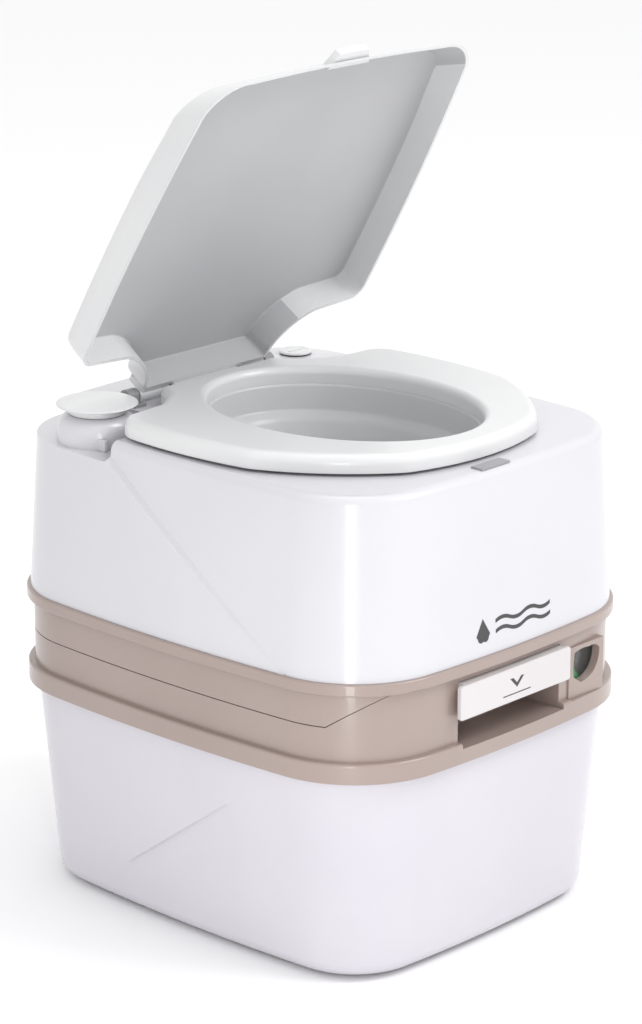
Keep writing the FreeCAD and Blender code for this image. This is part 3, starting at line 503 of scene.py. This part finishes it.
def join(pieces):
    leave_edit()
    for piece in pieces:
        piece.select_set(True)
    bpy.context.view_layer.objects.active = pieces[0]
    bpy.ops.object.join()
    return pieces[0]


def spun(name, axis_point, profile):
    """A round piece about the upright axis through the point; profile points are (radius, height)."""
    leave_edit()
    x, y = axis_point[0], axis_point[1]
    start = Vector((x + profile[0][0], y, profile[0][1])) * MM
    bpy.ops.mesh.primitive_plane_add(size=MM, location=start)
    piece = new_piece(name)
    edit(piece)
    bpy.ops.mesh.select_mode(type="VERT")
    bpy.ops.mesh.select_all(action="SELECT")
    bpy.ops.mesh.merge(type="CENTER")
    for here, there in zip(profile, profile[1:]):
        step = Vector((there[0] - here[0], 0, there[1] - here[1])) * MM
        bpy.ops.mesh.extrude_region_move(TRANSFORM_OT_translate={"value": step})
    bpy.ops.mesh.select_all(action="SELECT")
    bpy.ops.mesh.spin(steps=SPIN_STEPS, angle=math.tau, center=(x * MM, y * MM, 0), axis=UP)
    bpy.ops.mesh.select_all(action="SELECT")
    bpy.ops.mesh.remove_doubles(threshold=NEAR)
    return piece


def bore(piece, place, radius, low, high):
    """Drills an upright round hole through the piece, between two heights."""
    carve(piece, spun("bore_tool", place, [(0, low), (radius, low), (radius, high), (0, high)]))


def fit(piece, body, slot, finish, *nodes, smooth=32, weigh=True):
    """Turns the faces outwards, smooths the shading and hangs the piece on its body, for the nodes."""
    edit(piece)
    bpy.ops.mesh.select_all(action="SELECT")
    bpy.ops.mesh.normals_make_consistent(inside=False)
    take(piece)
    bpy.ops.object.shade_smooth_by_angle(angle=math.radians(smooth))
    if weigh:
        bpy.ops.object.modifier_add(type="WEIGHTED_NORMAL")
        piece.modifiers[-1].keep_sharp = True
        bpy.ops.object.modifier_apply(modifier=piece.modifiers[-1].name)
    piece.data.materials.clear()
    piece.data.materials.append(finish)
    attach(piece, body)
    if nodes:
        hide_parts(*nodes)
    leave_edit()


def shift_points(piece, shift):
    """Moves each vertex by what the shift gives for its place, in millimetres."""
    leave_edit()
    for vert in piece.data.vertices:
        move = shift(*(vert.co / MM))
        if move:
            vert.co += Vector(move) * MM


def cut_line(piece, low_end, high_end, offset, test):
    """Cuts the picked faces along a line seen from the side; points are (y, z)."""
    run = Vector((0, high_end[0] - low_end[0], high_end[1] - low_end[1])).normalized()
    across = Vector((0, -run.z, run.y))
    point = Vector((0, low_end[0], low_end[1])) + across * offset
    edit(piece)
    pick("FACE", test)
    bpy.ops.mesh.bisect(plane_co=point * MM, plane_no=across)


def from_line(low_end, high_end, y, z):
    """How far a point seen from the side lies off the line, and its place along it as a share."""
    run_y, run_z = high_end[0] - low_end[0], high_end[1] - low_end[1]
    length = math.hypot(run_y, run_z)
    off = ((z - low_end[1]) * run_y - (y - low_end[0]) * run_z) / length
    along = ((y - low_end[0]) * run_y + (z - low_end[1]) * run_z) / length ** 2
    return off, along


# ---------------------------------------------------------------- fresh water tank

DECK_ROUND = 7
OUTLET, OUTLET_ROOM = (0, 5), 50
MOUTH_HALF_WIDTH, MOUTH_HALF_LENGTH, MOUTH_NARROWING = 96, 124, 0.72
# Where the pocket's cutter ends, past the body and above the deck
PAST_BODY, ABOVE_DECK = 260, 420

# The slanting crease on the left wall, its ends seen from the side as (y, z). The wall in front of it is
# set back: a little at the crease's foot, the whole depth at its top, and less towards the front corner.
CREASE_LOW, CREASE_TOP, CREASE_WIDTH = (-115, 250), (64, 371), 2.4
LEDGE_FOOT, LEDGE_DEPTH = 0.9, 3.2
LEDGE_X, LEDGE_FRONT, LEDGE_REAR, LEDGE_RUN = -130, -139, 90, 190


def make_upper_tank():
    tank = trace("fresh_water_tank", body_corners(UPPER_FOOT_INSET), SHOULDER)
    draw_in(DECK_INSET - UPPER_FOOT_INSET, DECK - SHOULDER)
    pick("EDGE", flat_at(DECK))
    round_edges(DECK_ROUND, 6)
    close_open_edges()
    for offset in (0, CREASE_WIDTH):
        cut_line(tank, CREASE_LOW, CREASE_TOP, offset,
                 lambda face: face.normal.x < -0.6 and face.calc_center_median().x < -120 * MM)

    def ledge(x, y, z):
        """Sets back the crease's upper edge, and the wall above it by its distance from the front."""
        off, along = from_line(CREASE_LOW, CREASE_TOP, y, z)
        if x > LEDGE_X or not LEDGE_FRONT <= y <= LEDGE_REAR or off < CREASE_WIDTH - 0.4:
            return None
        if off < CREASE_WIDTH + 0.6:
            return (LEDGE_FOOT + (LEDGE_DEPTH - LEDGE_FOOT) * min(max(along, 0), 1), 0, 0)
        return (LEDGE_DEPTH * min(1, (y - LEDGE_FRONT) / LEDGE_RUN), 0, 0)

    shift_points(tank, ledge)
    pocket = add_block("pocket_tool", (-PAST_BODY, POCKET_Y, POCKET_FLOOR), (POCKET_X, PAST_BODY, ABOVE_DECK))
    edit(pocket)
    pick("EDGE", lambda edge: all(abs(v.co.x - POCKET_X * MM) < NEAR and abs(v.co.y - POCKET_Y * MM) < NEAR
                                  for v in edge.verts))
    round_edges(16, 8)
    pick("EDGE", flat_at(POCKET_FLOOR))
    round_edges(6, 5)
    leave_edit()
    carve(tank, pocket)
    carve(tank, oval("mouth_tool", BOWL_Y, MOUTH_HALF_WIDTH, MOUTH_HALF_LENGTH, NECK_LOW + 20, DECK + 5,
                     MOUTH_NARROWING))
    bore(tank, OUTLET, OUTLET_ROOM, NECK_LOW - 20, NECK_LOW + 30)
    bevel_sharp(tank, 1.6, 3, 40)
    neck = trace("tank_neck", body_corners(NECK_INSET), NECK_LOW)
    draw_in(STRAIGHT, SHOULDER + 1 - NECK_LOW)
    close_open_edges()
    bore(neck, OUTLET, OUTLET_ROOM, NECK_LOW - 9, SHOULDER + 9)
    join([tank, neck])
    fit(tank, "upper", "tank_white", TANK_WHITE, "upper_tank")


# ---------------------------------------------------------------- waste tank

FOOT_ROUND = 12
THROAT_ROOM, SPOUT, SPOUT_ROOM = 40, (-100, 140), 14

# The slanting line set into the left wall, its ends seen from the side as (y, z)
GROOVE_FOOT, GROOVE_TOP, GROOVE_WIDTH, GROOVE_DEPTH = (62, 40), (-62, 128), 1.3, 3
GROOVE_X, GROOVE_REACH = -120, 66


def make_lower_tank():
    tank = trace("waste_tank", body_corners(LOWER_TOP_INSET), FLANGE)
    face_up(False)
    draw_in(FOOT_INSET - LOWER_TOP_INSET, FLANGE - TANK_LOW)
    pick("EDGE", flat_at(TANK_LOW))
    round_edges(FOOT_ROUND, 8)
    close_open_edges()
    for offset in (0, -GROOVE_WIDTH):
        cut_line(tank, GROOVE_FOOT, GROOVE_TOP, offset,
                 lambda face: face.normal.x < -0.6 and abs(face.calc_center_median().y) < 68 * MM)

    def groove(x, y, z):
        """Sets one edge of the slanting line in, fading to nothing at its two ends."""
        off, along = from_line(GROOVE_FOOT, GROOVE_TOP, y, z)
        if x > GROOVE_X or abs(y) >= GROOVE_REACH or abs(off) > 0.5 or not 0 < along < 1:
            return None
        return (GROOVE_DEPTH * math.sin(math.pi * along) ** 0.4, 0, 0)

    shift_points(tank, groove)
    neck = trace("waste_tank_neck", body_corners(NECK_INSET), TANK_TOP)
    face_up(False)
    draw_in(STRAIGHT, TANK_TOP - FLANGE + 1)
    close_open_edges()
    bore(neck, OUTLET, THROAT_ROOM, FLANGE - 30, TANK_TOP + 9)
    bore(neck, SPOUT, SPOUT_ROOM, FLANGE - 30, TANK_TOP + 9)
    join([tank, neck])
    fit(tank, "base", "tank_white", LOWER_WHITE, "lower_tank")


# ---------------------------------------------------------------- seat, lid and bowl

# The hinge's barrels and the seat's tab between them
KNUCKLE_RADIUS, TAB_WIDTH, TAB_FRONT = 6, 72, 98
SEAT_ROUND, SEAT_UNDER_ROUND, HOLE_ROUND, HOLE_UNDER_ROUND = 7.5, 1.2, 6, 1.5


def make_seat():
    right_half = [(74, -159, 8), (147, -66, 4.5), (151, 54, 3), (136, 73), (99, 76), (75, 92), (63, 112)]
    radii = [34, 30, 14, 12, 14, 12, 9]
    seat = trace("seat", soften(both_sides(right_half, (14,)), radii + radii[::-1]), SEAT_LOW)
    bpy.ops.mesh.extrude_region_move(TRANSFORM_OT_translate={"value": (0, 0, (SEAT_TOP - SEAT_LOW) * MM)})
    pick("EDGE", flat_at(SEAT_TOP))
    round_edges(SEAT_ROUND, 8)
    pick("EDGE", flat_at(SEAT_LOW))
    round_edges(SEAT_UNDER_ROUND, 3)
    leave_edit()
    carve(seat, oval("hole_tool", BOWL_Y, HOLE_HALF_WIDTH, HOLE_HALF_LENGTH, SEAT_LOW - 5, SEAT_TOP + 5,
                     steps=HOLE_STEPS))
    edit(seat)

    def on_rim(vert):
        across, along = vert.co.x / HOLE_HALF_WIDTH / MM, (vert.co.y / MM - BOWL_Y) / HOLE_HALF_LENGTH
        return abs(math.hypot(across, along) - 1) < 0.004

    pick("EDGE", lambda edge: flat_at(SEAT_TOP)(edge) and all(on_rim(v) for v in edge.verts))
    round_edges(HOLE_ROUND, 8)
    pick("EDGE", lambda edge: flat_at(SEAT_LOW)(edge) and all(on_rim(v) for v in edge.verts))
    round_edges(HOLE_UNDER_ROUND, 3)
    tab = add_block("seat_tab", (-TAB_WIDTH / 2, TAB_FRONT, HINGE.z - 3),
                    (TAB_WIDTH / 2, HINGE.y, HINGE.z + 4))
    bevel_sharp(tab, 1.2)
    knuckle = add_knuckle("seat_knuckle", (0, HINGE.y, HINGE.z), TAB_WIDTH)
    join([seat, tab, knuckle])
    fit(seat, "seat", "lid_white", LID_WHITE, "seat_ring")


def add_knuckle(name, centre, length):
    """A round barrel along the hinge line, with softened ends."""
    leave_edit()
    bpy.ops.mesh.primitive_cylinder_add(vertices=48, radius=KNUCKLE_RADIUS * MM, depth=length * MM,
                                        location=Vector(centre) * MM,
                                        rotation=(0, math.radians(90), 0))
    piece = new_piece(name)
    bevel_sharp(piece, 0.8)
    return piece


# The lid is shaped shut, with the hinge line at the origin: its rim, top and wall, how far its front wall
# leans back, and the (inset, rise, rounding) of each step of its outside
LID_LOW, LID_HIGH, LID_WALL, LID_SLANT = -4, 23, 3, 22
LID_STEPS = [(1.6, 19, 4), (1.2, 4.6, 1.8), (2.6, 3.4, 1.2)]
LID_OPEN = 59.4
LID_MIDDLE, LEAN_START, LEAN_RUN = -180, -200, 90
# Where the painted shade on the lid's underside starts and ends, front to rear, and where the rear wall that
# also takes it begins
SHADE_FRONT, SHADE_REAR, REAR_WALL = -318, -9, -45
LIP_HALF_WIDTH, LIP_HALF_END, LIP_REAR, LIP_FRONT = 24, 16, -316, -331
ARM_X, ARM_HALF_WIDTH, LID_KNUCKLE = 54, 14, 32


def faces_middle(face):
    """True for a wall face of the lid that looks towards the lid's middle."""
    return face.normal.dot(Vector((0, LID_MIDDLE * MM, 0)) - face.center) > 0


def make_lid():
    right_half = [(105, -322, 8), (147, -297, 4), (158.5, -68, 3), (149, -53), (107, -50, -6), (71, -17),
                  (70, -7)]
    radii = [34, 14, 9, 9, 20, 12, 6]
    lid = trace("lid_shell", soften(both_sides(right_half, (3,)), radii + radii[::-1]), LID_LOW)
    for inset, rise, _ in LID_STEPS:
        draw_in(inset, rise)
    height = LID_LOW
    for _, rise, radius in LID_STEPS:
        height += rise
        pick("EDGE", flat_at(height))
        round_edges(radius, 3)
    close_open_edges()
    bpy.ops.mesh.select_all(action="SELECT")
    bpy.ops.mesh.normals_make_consistent(inside=False)
    pick("FACE", flat_at(LID_LOW))
    draw_in(LID_WALL, 0)
    draw_in(1.8, LID_LOW - LID_HIGH + LID_WALL)
    pick("EDGE", flat_at(LID_HIGH - LID_WALL))
    round_edges(3, 4)
    pick("EDGE", flat_at(LID_LOW))
    round_edges(0.8, 3)

    def slant(x, y, z):
        """Slopes the front wall back, more the higher it rises, and eases out along the sides."""
        ease = min(max((LEAN_START - y) / LEAN_RUN, 0), 1)
        return (0, LID_SLANT * (z - LID_LOW) / (LID_HIGH - LID_LOW) * ease * ease * (3 - 2 * ease), 0)

    shift_points(lid, slant)
    lip = trace("lid_lip", [(-LIP_HALF_WIDTH, LIP_REAR), (-LIP_HALF_END, LIP_FRONT, 1),
                            (LIP_HALF_END, LIP_FRONT), (LIP_HALF_WIDTH, LIP_REAR)], LID_LOW + 2)
    bpy.ops.mesh.extrude_region_move(TRANSFORM_OT_translate={"value": (0, 0, 7 * MM)})
    leave_edit()
    bevel_sharp(lip, 1.5)
    pieces = [lid, lip]
    for x in (-ARM_X, ARM_X):
        pieces.append(add_knuckle("lid_knuckle", (x, 0, 0), LID_KNUCKLE))
        arm = add_block("lid_arm", (x - ARM_HALF_WIDTH, -9.5, LID_LOW), (x + ARM_HALF_WIDTH, -3, 14))
        bevel_sharp(arm, 1)
        pieces.append(arm)
    join(pieces)
    # The lid's faces that look down, and its rear wall, are given the darker grey finish: painted shade
    shaded_faces = [face.index for face in lid.data.polygons
              if face.center.z > LID_LOW * MM and SHADE_FRONT * MM < face.center.y < SHADE_REAR * MM
              and (face.normal.z < -0.4 or face.center.y > REAR_WALL * MM and faces_middle(face))]
    lid.matrix_world = Matrix.Translation(HINGE * MM) @ Matrix.Rotation(math.radians(-LID_OPEN), 4, "X")
    take(lid)
    bpy.ops.object.transform_apply(location=True, rotation=True, scale=True)
    fit(lid, "lid", "lid_white", LID_WHITE, "lid")
    lid.data.materials.append(LID_PAINTED_SHADE)
    for index in shaded_faces:
        lid.data.polygons[index].material_index = 1


BOWL_WALL = 2.6
# The bowl's ovals from its rim down to the outlet: half width, half length, middle's y and height
BOWL_LEVELS = [(100, 128, -27, 387), (100, 128, -27, 388.6), (93.5, 121.5, -27, 388.6), (92, 120, -27, 387.4),
               (91, 119, -27, 368), (89, 116.5, -27, 365.5), (84, 111, -26, 363), (81.5, 107.5, -25, 359.5),
               (75, 97, -21.5, 330), (64, 80, -14, 300), (54, 62, -6, 275), (45.5, 49, 2, 255),
               (41, 41, 5, 246), (41, 41, 5, 236)]


def make_bowl():
    """An oval wall with a shelf under its rim, drawn in to the round outlet."""
    leave_edit()
    width, length, y, z = BOWL_LEVELS[0]
    bpy.ops.mesh.primitive_circle_add(vertices=OVAL_STEPS, radius=MM, location=Vector((0, y, z)) * MM)
    bowl = new_piece("bowl_liner")
    edit(bowl)
    bpy.ops.mesh.select_mode(type="EDGE")
    bpy.ops.mesh.select_all(action="SELECT")
    bpy.ops.transform.resize(value=(width, length, 1), center_override=Vector((0, y, z)) * MM)
    for before, after in zip(BOWL_LEVELS, BOWL_LEVELS[1:]):
        step = Vector((0, after[2] - before[2], after[3] - before[3])) * MM
        bpy.ops.mesh.extrude_region_move(TRANSFORM_OT_translate={"value": step})
        bpy.ops.transform.resize(value=(after[0] / before[0], after[1] / before[1], 1),
                                 center_override=Vector((0, after[2], after[3])) * MM)
    bpy.ops.mesh.select_all(action="SELECT")
    bpy.ops.mesh.normals_make_consistent(inside=True)
    take(bowl)
    bpy.ops.object.modifier_add(type="SOLIDIFY")
    bowl.modifiers[-1].thickness = BOWL_WALL * MM
    bowl.modifiers[-1].offset = -1
    bpy.ops.object.modifier_apply(modifier=bowl.modifiers[-1].name)
    bevel_sharp(bowl, 1.2, 3, 28)
    fit(bowl, "upper", "bowl_white", BOWL_WHITE, "bowl", smooth=50, weigh=False)


# ---------------------------------------------------------------- pump and fill cap

def make_pump():
    floor = POCKET_FLOOR
    collar = spun("pump_shroud", PUMP, [(14, floor), (32, floor), (31.8, floor + 8), (31, floor + 13),
                                        (29.4, floor + 17), (27.2, floor + 19.6), (24.5, floor + 21.2),
                                        (22, floor + 22), (14.5, floor + 22), (14, floor + 21.5),
                                        (14, floor)])
    tab = add_block("shroud_tab", (PUMP.x - 22.5, PUMP.y - 31.5, floor),
                    (PUMP.x - 19, PUMP.y - 22, floor + 9))
    bevel_sharp(tab, 0.7)
    join([collar, tab])
    fit(collar, "upper", "tank_white", TANK_WHITE, "pump_collar")
    knob = spun("pump_cap", PUMP, [(0, floor + 22.4), (22.5, floor + 22.4), (23, floor + 22.9),
                                   (23, floor + 26), (25, floor + 27.2), (30, floor + 28),
                                   (31.6, floor + 28.6), (32, floor + 29.3), (31.7, floor + 29.9),
                                   (30, floor + 30.6), (24, floor + 31.8), (16, floor + 32.6),
                                   (8, floor + 32.9), (0, floor + 33)])
    fit(knob, "pump", "lid_white", LID_WHITE, "pump_knob", smooth=45, weigh=False)


def make_fill_cap():
    radius = (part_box("fill_cap")[1].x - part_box("fill_cap")[0].x) / 2 / MM
    cap = spun("fill_cap_top", FILL, [(0, DECK - 10), (10.9, DECK - 10), (10.9, DECK + 1.2),
                                      (radius, DECK + 1.2), (radius, DECK + 2.2), (radius - 0.7, DECK + 2.9),
                                      (radius - 3, DECK + 3.1), (radius - 3.6, DECK + 2.6),
                                      (0, DECK + 2.6)])
    grip = add_block("cap_grip", (FILL.x - 8, FILL.y - 1.6, DECK + 2.2),
                     (FILL.x + 8, FILL.y + 1.6, DECK + 3.2))
    bevel_sharp(grip, 0.4)
    join([cap, grip])
    fit(cap, "fill_cap", "lid_white", LID_WHITE, "fill_cap")


# ---------------------------------------------------------------- pull handle and printed marks

PLATE_THICK, SHELF_THICK = 4.5, 4
SHELF_LEFT, SHELF_RIGHT, WEB_LEFT, WEB_RIGHT = -61.3, 55.3, -14, 6


def make_handle():
    low, high = (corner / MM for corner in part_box("pull_handle"))
    plate = add_block("handle_plate", low, (high.x, low.y + PLATE_THICK, high.z))
    edit(plate)
    pick("EDGE", lambda edge: abs((edge.verts[0].co - edge.verts[1].co).normalized().y) > 0.9)
    round_edges(2.5, 5)
    leave_edit()
    bevel_sharp(plate, 1.1, 4)
    shelf = add_block("handle_shelf", (SHELF_LEFT, low.y + PLATE_THICK - 0.5, high.z - SHELF_THICK),
                      (SHELF_RIGHT, high.y, high.z))
    bevel_sharp(shelf, 0.6, 2)
    web = add_block("handle_web", (WEB_LEFT, high.y - SHELF_THICK, low.z + 5),
                    (WEB_RIGHT, high.y, high.z - 1))
    bevel_sharp(web, 0.6, 2)
    join([plate, shelf, web])
    fit(plate, "valve", "handle_white", HANDLE_WHITE, "pull_handle")


# How far in front of the object a mark is drawn, before it is laid on
MARK_START = 250


def print_mark(name, outlines, target, body, slot):
    """Flat printed shapes, given as front-view outlines, laid on the front of the target."""
    shapes = []
    for corners in outlines:
        shape = trace(name, corners, 0)
        take(shape)
        shape.rotation_euler.x = math.radians(90)
        shape.location.y = -MARK_START * MM
        bpy.ops.object.transform_apply(location=True, rotation=True, scale=True)
        shapes.append(shape)
    mark = join(shapes) if len(shapes) > 1 else shapes[0]
    take(mark)
    bpy.ops.object.modifier_add(type="SHRINKWRAP")
    wrap = mark.modifiers[-1]
    wrap.wrap_method = "PROJECT"
    wrap.use_project_y = True
    wrap.target = target
    wrap.offset = 0.15 * MM
    bpy.ops.object.modifier_apply(modifier=wrap.name)
    bpy.ops.object.modifier_add(type="SOLIDIFY")
    mark.modifiers[-1].thickness = 0.3 * MM
    mark.modifiers[-1].offset = -1
    bpy.ops.object.modifier_apply(modifier=mark.modifiers[-1].name)
    fit(mark, body, slot, MARK_GREY, weigh=False)


def wave(left, low, length, thick, swing):
    """A wavy stroke of four half waves."""
    step = length / 4
    under = [(left + i * step, low, swing if i % 2 else -swing) for i in range(4)]
    over = [(left + i * step, low + thick, swing if i % 2 else -swing) for i in range(4, 0, -1)]
    return under + [(left + length, low)] + over + [(left, low + thick)]


def make_marks():
    tank, plate = bpy.data.objects["fresh_water_tank"], bpy.data.objects["handle_plate"]
    drop = [(-37, 276.5), (-43.5, 265.5, 1), (-43, 262, 2.2), (-37, 259, 2.2), (-31, 262, 1), (-30.5, 265.5)]
    waves = [wave(-23, low, 64, 3, 1.8) for low in (270, 262)]
    print_mark("front_mark", [drop, *waves], tank, "upper", "tank_white")
    arrow = [(-12, 224), (-4, 216), (4, 224), (0.5, 224), (-4, 219.5), (-8.5, 224)]
    print_mark("handle_mark", [arrow, [(-20, 211), (12, 211), (12, 211.8), (-20, 211.8)]], plate, "valve",
               "handle_white")


# ---------------------------------------------------------------- finishes on the carried-over parts

SLOT_FINISHES = {
    "tank_white": TANK_WHITE, "lid_white": LID_WHITE, "bowl_white": BOWL_WHITE, "band_beige": BAND_TAUPE,
    "handle_white": HANDLE_WHITE, "dark_plastic": DARK_PLASTIC, "grey_plastic": GREY_PLASTIC, "clear": PANE,
    "signal_green": SIGNAL_GREEN, "black_rubber": RUBBER, "steel": STEEL,
}


def finish_carried_parts():
    for subpart in frame["record"]["subparts"]:
        node = frame["nodes"][subpart["node"]]
        for material_slot in node.material_slots:
            material_slot.material = SLOT_FINISHES[subpart["material_slot"]]


add_camera()
add_studio()
add_floor()
finish_carried_parts()
make_upper_tank()
make_lower_tank()
make_seat()
make_lid()
make_bowl()
make_pump()
make_fill_cap()
make_handle()
make_marks()
